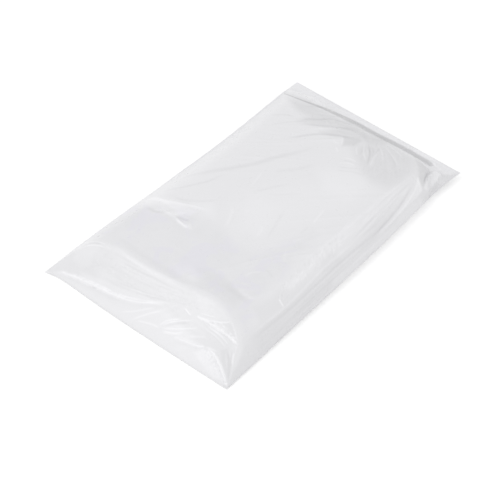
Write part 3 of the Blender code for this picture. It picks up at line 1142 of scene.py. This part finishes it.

# %% [markdown]
# Some areas of the film are duller or brighter as a whole, with light or shade painted over them. Each
# area is a patch with soft edges, again drawn over the photo. A patch has its painted light, which is
# below zero where shade is painted, the width of its soft edge in pixels, and its corners.

# %% Patches of duller and brighter film
PAINTED_LIGHT_PATCHES = {
    "ridge shade": (-0.035, 10, [
        (196, 268), (214, 272), (238, 284), (244, 300), (234, 308), (220, 296), (198, 283),
    ]),
    "second plate": (0.05, 4, [(170, 206), (184, 206), (196, 212), (190, 216), (178, 213)]),
    "glossy top": (0.03, 3, [
        (144, 201), (150, 197), (162, 197), (176, 200), (186, 204.6), (180, 207), (168, 209.5),
        (158, 205), (148, 204.6),
    ]),
    "glossy wedge": (0.045, 2.5, [(167, 211.4), (176, 211.4), (186, 212.6), (182, 215.4), (175, 216.6)]),
    "glossy crescent": (0.05, 2, [
        (175.4, 218.6), (180, 222), (185, 223.8), (191, 224), (192.4, 229.6), (184, 227), (177.6, 222),
    ]),
    "hip shoulder": (0.03, 8, [
        (194, 291), (212, 297), (222, 305), (229, 315), (232, 324), (226, 322), (214, 317), (202, 311),
    ]),
    "shaded end": (-0.088, 16, [
        (352, 147), (366, 141), (386, 140), (414, 157), (412, 172), (402, 183), (388, 188), (371, 181),
        (360, 168),
    ]),
    "wedge": (-0.10, 9, [
        (288, 98.5), (311, 104), (336, 115.5), (358, 126), (377, 136), (386, 142), (372, 143),
        (359, 133.6), (350, 130), (337, 128), (320, 127), (305, 123.6), (298, 121), (308, 116.6),
        (298, 111),
    ]),
    "under wedge": (-0.11, 8, [
        (320, 132), (336, 129), (346, 127.5), (356, 130), (366, 136), (368, 141.5), (358, 138),
        (344, 137), (330, 135.5),
    ]),
    # A spot of painted shade
    "shade spot": (-0.12, 4.5, [
        (343.9, 137), (358.9, 138), (361.6, 141), (355, 145.4), (342.2, 146), (343.3, 141),
    ]),
    # Painted light
    "lit top": (0.02, 26, [
        (232, 204), (262, 188), (330, 182), (372, 190), (340, 214), (300, 226), (262, 232), (236, 226),
    ]),
    "left band": (0.02, 26, [
        (128, 205), (172, 182), (230, 138), (284, 96), (292, 100), (250, 140), (190, 186), (150, 208),
    ]),
    "left rim": (0.025, 7, [
        (138, 205), (186, 171), (232, 137), (284, 96), (291, 99), (240, 142), (194, 178), (150, 207),
    ]),
    "upper slope": (-0.02, 12, [
        (72, 256), (96, 250), (122, 258), (150, 275), (190, 293), (216, 303), (226, 316), (200, 310),
        (172, 301), (148, 296), (122, 286), (96, 274), (70, 264),
    ]),
    "lower slope": (0.07, 9, [
        (46, 273), (64, 276), (80, 283), (96, 291), (112, 299), (132, 304), (165, 309), (186, 330),
        (204, 350), (222, 380), (226, 392), (190, 368), (150, 342), (110, 318), (80, 297), (58, 284),
    ]),
    "crest glow": (0.055, 5, [
        (80, 272.5), (96, 278), (112, 284), (128, 290), (144, 294.5), (152, 300), (134, 300),
        (118, 295.5), (102, 288.8), (88, 281.8),
    ]),
    "fan": (0.045, 5, [
        (193, 352), (209, 348), (215, 354.5), (220.5, 366), (225.6, 378), (228, 389), (216, 382),
        (201, 363),
    ]),
    "hip shade": (-0.05, 4, [
        (221, 350), (227, 349), (230.6, 356), (230.6, 372), (227.6, 388), (225.6, 374), (221.6, 362),
    ]),
    "shoulder": (0.02, 7, [
        (284, 290), (304, 268), (328, 244), (352, 222), (358, 226), (334, 248), (306, 276), (288, 296),
    ]),
    "side": (-0.03, 12, [
        (250, 336), (266, 316), (284, 300), (310, 278), (331, 264), (373, 226), (392, 212), (398, 222),
        (384, 240), (330, 288), (262, 352),
    ]),
    "edge strip": (0.055, 5, [
        (332, 289), (351, 272), (369, 254.5), (387, 239), (405, 222), (424, 205), (420, 198), (413, 203),
        (404, 211), (394, 220), (384, 230), (372, 242), (352, 260), (334, 277),
    ]),
    "plate light": (0.010, 16, [
        (248, 194), (262, 196), (273, 212), (271, 223), (263, 237), (253, 239), (243, 226), (243, 208),
    ]),
    "behind ridge light": (0.03, 8, [
        (176, 266), (190, 266), (204, 274), (206, 282), (192, 284), (178, 276),
    ]),
    "upper side": (-0.045, 9, [(254, 308), (270, 298), (284, 286), (292, 291), (277, 306), (260, 320)]),
    "far top light": (0.03, 16, [(318, 170), (350, 167), (368, 184), (350, 197), (324, 191)]),
    # Painted light
    "lit spot": (0.03, 12, [(190, 202), (214, 202), (214, 220), (196, 222)]),
    "above shoulder": (-0.03, 10, [(316, 257), (334, 250), (342, 263), (324, 272)]),
    "above crest light": (0.04, 9, [(94, 268), (112, 271), (118, 282), (100, 281)]),
    "left end light": (0.035, 6, [
        (75, 250), (84, 243.6), (94, 242.6), (98, 247), (94, 254), (90, 266), (82, 268), (73, 261),
    ]),
    "ridge foot": (-0.03, 6, [(101, 246), (112, 247), (121, 253), (118, 260), (106, 258), (100, 252)]),
    "flap": (0.085, 2.5, [
        (297, 82), (302, 83), (444, 163), (430, 159.6), (398, 142), (362, 123.6), (336, 110.6),
        (310, 100.6), (287, 92),
    ]),
    "flap foot": (-0.055, 3, [(284.6, 92.4), (292, 90.6), (304, 94.4), (314, 99), (311, 103), (298, 99)]),
    "pocket": (-0.10, 4.5, [
        (414, 156.5), (424, 160.5), (430.6, 164), (432.4, 168.6), (429.4, 173.6), (426.4, 179),
        (423, 187), (419.4, 178), (418.6, 168),
    ]),
    "panel": (0.11, 2.5, [
        (433, 168.6), (439.6, 174.6), (436.8, 180), (428.6, 189), (424.2, 187.8), (427, 180),
        (431.2, 173),
    ]),
    "panel foot": (0.10, 2.5, [(431.6, 174.6), (436.4, 180), (428, 191), (424.2, 189), (427, 181)]),
    "ear": (-0.095, 3.5, [
        (441, 175), (447, 174.4), (458, 173.6), (450, 182), (440, 190.6), (433, 193), (432, 188),
        (438, 181),
    ]),
    "ear foot": (-0.03, 3, [(434, 190), (438, 192), (430, 199.6), (424, 205), (424.6, 196), (429, 192)]),
    "triangle": (0.09, 2.5, [
        (418, 177.6), (422, 190.6), (417, 197.5), (410.5, 203.5), (404, 210), (399, 214), (403, 208),
        (409, 200), (414, 191.5),
    ]),
}
# Each patch adds its painted light, or painted shade where it is below zero
film_pixels = seen_at(mesh_places(film))
for painted_light, edge, corners in PAINTED_LIGHT_PATCHES.values():
    film_shade += painted_light * inside_patch(film_pixels, corners, edge)
print(len(PAINTED_LIGHT_PATCHES), "patches toned")

# %% [markdown]
# Two areas need more than a patch. Painted shade darkens a valley along the folded flap, thin at its
# start and faint at its end. The front of the top has a mark of its own, which the finish turns grey
# with painted shade and tints lavender in blotches.

# %% The painted shade of the valley, and the grey and lavender front of the top
VALLEY = [
    (284.6, 93.6), (293.3, 96.9), (308.9, 102.9), (322.2, 107.6), (336.7, 114.2), (347.8, 119.5),
    (359, 124.9), (370, 131.2), (379.4, 136.4), (396.5, 144.6), (405.8, 149.6), (415, 154.8), (424, 160),
    (429.4, 162.8), (432, 165.6), (433.4, 168.2),
]
SHADE_AND_TINT_AREA = [
    (112, 214), (137, 204), (160, 210), (200, 212), (220, 226), (234, 246), (262, 254), (290, 244),
    (312, 232), (316, 240), (296, 258), (284, 272), (262, 300), (246, 334), (232, 312), (214, 293),
    (170, 274), (128, 246), (92, 238),
]
VALLEY_PAINTED_SHADE = -0.24
VALLEY_WIDTH = 1.9
VALLEY_TAPER = 0.5
VALLEY_FADE = 0.1
THINNEST = 0.25
FADED = 0.6
SHADE_AND_TINT_EDGE = 16


def along_stroke(pixels, path, width, taper, fade):
    """1 on a stroke drawn along a path and 0 beside it: thin at its start, faint at its end."""
    path = softened(np.array(path, float))
    away = np.full(len(pixels), np.inf)
    reached = np.zeros(len(pixels))
    for number, (start, stop) in enumerate(zip(path[:-1], path[1:])):
        step = stop - start
        share = np.clip((pixels - start) @ step / (step @ step), 0, 1)
        distance = np.linalg.norm(pixels - start - share[:, None] * step, axis=1)
        full_width = smooth_share(number / len(path) / taper)
        width_here = width * (THINNEST + (1 - THINNEST) * full_width)
        nearer = distance / width_here < away
        away[nearer] = distance[nearer] / width_here
        reached[nearer] = number / len(path)
    return smooth_share(1.5 - away) * (1 - FADED * smooth_share((reached - 1 + fade) / fade))


# Painted shade along the valley
film_shade += VALLEY_PAINTED_SHADE * along_stroke(film_pixels, VALLEY, VALLEY_WIDTH, VALLEY_TAPER, VALLEY_FADE)
# The front of the top, which the finish greys with painted shade and tints lavender
film_shade_and_tint = inside_patch(film_pixels, SHADE_AND_TINT_AREA, SHADE_AND_TINT_EDGE)
write_attribute(film, "shade", film_shade)
write_attribute(film, "shade_and_tint", film_shade_and_tint)
print("film clings over", round(float(film_shade_and_tint.mean()), 2), "of the top")

# %% [markdown]
# The second layer of the bag is the film underneath. It drops from the same seams to the table and
# lies flat there. It is joined to the top all round by a film edge as thick as two welded layers,
# which closes the shell.

# %% The film underneath
WELD_THICKNESS = 0.4 * MM
UNDER_RUN_LEFT = 30 * MM
UNDER_RUN_RIGHT = 16 * MM
UNDER_RUN_SEALED = 42 * MM
UNDER_RUN_FOLDED = 20 * MM
SMOOTH_UP_TO = math.radians(60)


def underside_height(x, y, seam, share_across, share_along):
    left_x, right_x, sealed_y, folded_y = seam_lines(share_across, share_along)
    sides = climb(x - left_x, UNDER_RUN_LEFT) * climb(right_x - x, UNDER_RUN_RIGHT)
    ends = climb(y - sealed_y, UNDER_RUN_SEALED) * climb(folded_y - FLAP_LENGTH - y, UNDER_RUN_FOLDED)
    return (seam - WELD_THICKNESS) * (1 - sides * ends)


def count_open_edges(thing):
    shell = bmesh.new()
    shell.from_mesh(thing.data)
    open_edges = sum(not edge.is_manifold for edge in shell.edges)
    triangles = sum(len(face.verts) - 2 for face in shell.faces)
    volume = shell.calc_volume(signed=True)
    shell.free()
    print("open edges", open_edges, "triangles", triangles, "litres", round(volume * 1000, 2))


underside = flat_grid("underside", CAGE_COLUMNS, CAGE_ROWS)
under_places = outline(across, along).T.copy()
under_places[:, 2] = underside_height(*under_places.T, across, along)
set_places(underside, under_places)
mark_thin(underside, outline(across, along)[2] - under_places[:, 2])
bpy.ops.object.mode_set(mode="EDIT")
bpy.ops.mesh.select_all(action="SELECT")
bpy.ops.mesh.flip_normals()
select_only(film)
underside.select_set(True)
bpy.ops.object.join()
bpy.ops.object.mode_set(mode="EDIT")
bpy.ops.mesh.select_all(action="DESELECT")
bpy.ops.mesh.select_mode(type="EDGE")
bpy.ops.mesh.select_non_manifold(extend=False)
bpy.ops.mesh.bridge_edge_loops()
bpy.ops.mesh.select_all(action="SELECT")
bpy.ops.mesh.normals_make_consistent(inside=False)
select_only(film)
bpy.ops.object.shade_smooth_by_angle(angle=SMOOTH_UP_TO)
count_open_edges(film)

# %% [markdown]
# A finish is a sum of patterns, and its sums are written as sums here: a small class wraps a socket,
# so plus and times build nodes.

# %% A way to write shader sums
class Wire:
    """A socket of a shader, which can be added to, multiplied, and so on."""

    tree = None

    def __init__(self, socket):
        self.socket = socket

    @classmethod
    def node(cls, kind, *values, output=0, settings=None, **inputs):
        """A new node, whose inputs take values in their order or by their names."""
        made = cls.tree.nodes.new(kind)
        for name, value in (settings or {}).items():
            setattr(made, name, value)
        for socket, value in zip(made.inputs, values):
            cls.plug(socket, value)
        for name, value in inputs.items():
            cls.plug(made.inputs[name.replace("_", " ")], value)
        return cls(made.outputs[output])

    @classmethod
    def plug(cls, socket, value):
        if isinstance(value, Wire):
            cls.tree.links.new(value.socket, socket)
        else:
            socket.default_value = value

    @classmethod
    def maths(cls, operation, first, second):
        return cls.node("ShaderNodeMath", first, second, settings={"operation": operation})

    def __add__(self, other):
        return Wire.maths("ADD", self, other)

    def __sub__(self, other):
        return Wire.maths("SUBTRACT", self, other)

    def __rsub__(self, other):
        return Wire.maths("SUBTRACT", other, self)

    def __mul__(self, other):
        return Wire.maths("MULTIPLY", self, other)

    __radd__ = __add__
    __rmul__ = __mul__

    def between(self, low, high):
        """0 up to the low value, 1 from the high value on, and a soft step between them."""
        share = Wire.maths("DIVIDE", self - low, high - low)
        share = Wire.maths("MINIMUM", Wire.maths("MAXIMUM", share, 0.0), 1.0)
        return share * share * (3.0 - 2.0 * share)


# The colour sockets of the Mix node share their names with others, so they go by number
MIX_SHARE = 0
MIX_FIRST_COLOUR = 6
MIX_SECOND_COLOUR = 7
MIX_COLOUR_RESULT = 2


def blend_colours(share, first, second):
    """A colour at a share of the way from the first colour to the second."""
    made = Wire.tree.nodes.new("ShaderNodeMix")
    made.data_type = "RGBA"
    Wire.plug(made.inputs[MIX_SHARE], share)
    Wire.plug(made.inputs[MIX_FIRST_COLOUR], first)
    Wire.plug(made.inputs[MIX_SECOND_COLOUR], second)
    return Wire(made.outputs[MIX_COLOUR_RESULT])


def scaled_colour(colour, factor):
    return Wire.node("ShaderNodeVectorMath", colour, settings={"operation": "SCALE"}, Scale=factor)


def film_mark(name):
    """The number that each point of the film keeps under this name."""
    return Wire.node("ShaderNodeAttribute", output="Fac", settings={"attribute_name": name})


def noise(position, scale, detail, roughness=0.5, distortion=0.0):
    return Wire.node(
        "ShaderNodeTexNoise", Vector=position, Scale=scale, Detail=detail, Roughness=roughness,
        Distortion=distortion,
    )


def stretched(position, scale):
    return Wire.node("ShaderNodeMapping", Vector=position, Scale=scale)


def new_material(name):
    """An empty material with its shader node, ready for wiring."""
    material = bpy.data.materials.new(name)
    material.use_nodes = True
    Wire.tree = material.node_tree
    return material, material.node_tree.nodes["Principled BSDF"]


def wear(thing, material, surface):
    """Gives a thing a material, whose surface is this shader."""
    Wire.plug(material.node_tree.nodes["Material Output"].inputs["Surface"], surface)
    thing.data.materials.clear()
    thing.data.materials.append(material)


# %% [markdown]
# The finish is milky polyethylene film. It is nearly white, grey with painted shade over the front of
# the top, and lavender in blotches there. The painted light and shade of creases and patches make it
# whiter or duller, up to a limit. Where two layers of film lie with nothing between them, painted light
# makes it a little whiter, and some light goes through. Fine lines drawn into the film and a grain are
# too small for geometry, so they are bump.

# %% The milky film
FILM_WHITE = (0.886, 0.885, 0.904, 1)
# The grey of painted shade over the front of the top
FILM_SHADE_GREY = (0.845, 0.845, 0.865, 1)
FILM_LAVENDER = (0.838, 0.827, 0.898, 1)
LAVENDER_SHARE = 0.55
# How much painted shade greys that area, evenly and in clouds
SHADE_GREY_EVEN = 0.55
SHADE_GREY_CLOUDED = 0.45
CLOUD_SCALE = 26.0
CLOUD_RANGE = (0.35, 0.62)
BLOTCH_RANGE = (0.49, 0.58)
CLOUD_TONE = 0.012
THIN_CLEARNESS = 0.08
# Painted light on the two layers of film
THIN_PAINTED_LIGHT = 0.07
WHITEST = 1.13
FILM_ROUGHNESS = 0.24
ROUGHNESS_SPREAD = 0.10
ROUGHNESS_SCALE = 90.0
DRAWN_TURN = math.radians(30)
DRAWN_LINES = (150, 22, 60)
CROSS_LINES = (30, 210, 60)
CROSS_LINE_SHARE = 0.6
LINE_DETAIL = 1.5
FINE_BUMP = 0.0004
GRAIN_BUMP = 0.00004
GRAIN_SCALE = 300.0
BUMP_STRENGTH = 0.8

milky_film, shader = new_material("milky_film")
position = Wire.node("ShaderNodeTexCoord", output="Object")
clouds = noise(position, CLOUD_SCALE, detail=3.0, roughness=0.6)
blotches = noise(position, CLOUD_SCALE, detail=3.0, distortion=1.4)
shade_and_tint_here = film_mark("shade_and_tint")
thin_here = film_mark("thin")
# Painted shade greys the front of the top, in even and clouded parts
painted_shade_grey = shade_and_tint_here * (SHADE_GREY_EVEN + SHADE_GREY_CLOUDED * clouds.between(*CLOUD_RANGE))
base = blend_colours(painted_shade_grey, FILM_WHITE, FILM_SHADE_GREY)
lavender = shade_and_tint_here * blotches.between(*BLOTCH_RANGE) * LAVENDER_SHARE
base = blend_colours(lavender, base, FILM_LAVENDER)
# Painted light and shade of creases and patches, painted light on thin film, and a random mottle
painted_light_and_mottle = 1.0 + film_mark("shade") + THIN_PAINTED_LIGHT * thin_here + CLOUD_TONE * (clouds - 0.5)
base = scaled_colour(base, Wire.maths("MINIMUM", painted_light_and_mottle, WHITEST))
roughness = FILM_ROUGHNESS + ROUGHNESS_SPREAD * noise(position, ROUGHNESS_SCALE, detail=3.0)
turned = Wire.node("ShaderNodeMapping", Vector=position, Rotation=(0, 0, DRAWN_TURN))
drawn_lines = noise(stretched(turned, DRAWN_LINES), 1.0, detail=LINE_DETAIL)
cross_lines = noise(stretched(position, CROSS_LINES), 1.0, detail=LINE_DETAIL)
grain = noise(position, GRAIN_SCALE, detail=1.0)
height = (drawn_lines + CROSS_LINE_SHARE * cross_lines) * FINE_BUMP + grain * GRAIN_BUMP
bump = Wire.node("ShaderNodeBump", Height=height, Distance=1.0, Strength=BUMP_STRENGTH)
Wire.plug(shader.inputs["Base Color"], base)
Wire.plug(shader.inputs["Roughness"], roughness)
Wire.plug(shader.inputs["Normal"], bump)
shader.inputs["IOR"].default_value = 1.5
shader.inputs["Specular IOR Level"].default_value = 0.5
clear = Wire.node("ShaderNodeBsdfTransparent")
milky = Wire(shader.outputs[0])
wear(film, milky_film, Wire.node("ShaderNodeMixShader", thin_here * THIN_CLEARNESS, milky, clear))

# %% [markdown]
# The table is plain white. To the eye, and in gloss, it is brighter than its light alone makes it, as
# in a cut-out catalogue photo. It sheds no more light on the bag for that, and it takes its shadow.

# %% The table
TABLE_SIDE = 8
TABLE_DEPTH = 0.5 * MM
TABLE_GREY = (0.8, 0.8, 0.8, 1)
TABLE_GLOW = 0.4


def seen_or_mirrored():
    """1 for what the eye sees, also in gloss or through glass, and 0 for light that falls on things."""
    seen, mirrored, seen_through = (
        Wire.node("ShaderNodeLightPath", output=name)
        for name in ("Is Camera Ray", "Is Glossy Ray", "Is Transmission Ray")
    )
    return Wire.maths("MINIMUM", seen + mirrored + seen_through, 1.0)


start_afresh()
bpy.ops.mesh.primitive_plane_add(size=TABLE_SIDE, location=(0, 0, -TABLE_DEPTH))
table = bpy.context.object
table.name = "table"
white_table, shader = new_material("white_table")
shader.inputs["Base Color"].default_value = TABLE_GREY
shader.inputs["Roughness"].default_value = 1
shader.inputs["Specular IOR Level"].default_value = 0
lit = Wire(shader.outputs[0])
glow = Wire.node("ShaderNodeEmission", Strength=TABLE_GLOW)
lit_and_glowing = Wire.node("ShaderNodeAddShader", lit, glow)
finish = Wire.node("ShaderNodeMixShader", seen_or_mirrored(), lit, lit_and_glowing)
wear(table, white_table, finish)

# %% [markdown]
# The light is a white room, one large soft lamp at the front left, a weaker one at the right, and a
# small hard one for the glints on the crests. The room looks whiter than it shines.

# %% Light
ROOM_LIGHT = 0.714
WHITE = (1, 1, 1, 1)
scene = bpy.context.scene
scene.view_settings.view_transform = "Standard"
room = bpy.data.worlds.new("room")
scene.world = room
room.use_nodes = True
Wire.tree = room.node_tree
background = room.node_tree.nodes["Background"]
background.inputs["Color"].default_value = WHITE
Wire.plug(background.inputs["Strength"], ROOM_LIGHT + seen_or_mirrored() * (1.0 - ROOM_LIGHT))


def softbox(name, towards, distance, side, strength):
    """A square lamp in the given direction from the bag, facing it."""
    lamp = bpy.data.lights.new(name, "AREA")
    lamp.shape = "SQUARE"
    lamp.size = side
    lamp.energy = strength
    holder = bpy.data.objects.new(name, lamp)
    bpy.context.scene.collection.objects.link(holder)
    direction = Vector(towards).normalized()
    holder.location = direction * distance
    holder.rotation_euler = (-direction).to_track_quat("-Z", "Y").to_euler()
    print("lamp", name, "at", [round(place, 2) for place in holder.location])


softbox("key", towards=(-0.25, -0.38, 0.89), distance=2.0, side=1.2, strength=6.5)
softbox("fill", towards=(0.85, -0.25, 0.45), distance=2.0, side=1.6, strength=3.6)
softbox("glint", towards=(-0.46, -0.42, 0.78), distance=2.4, side=0.3, strength=0.5)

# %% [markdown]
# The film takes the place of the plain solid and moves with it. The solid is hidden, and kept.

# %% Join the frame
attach(film, "root")
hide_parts("filled_bag")
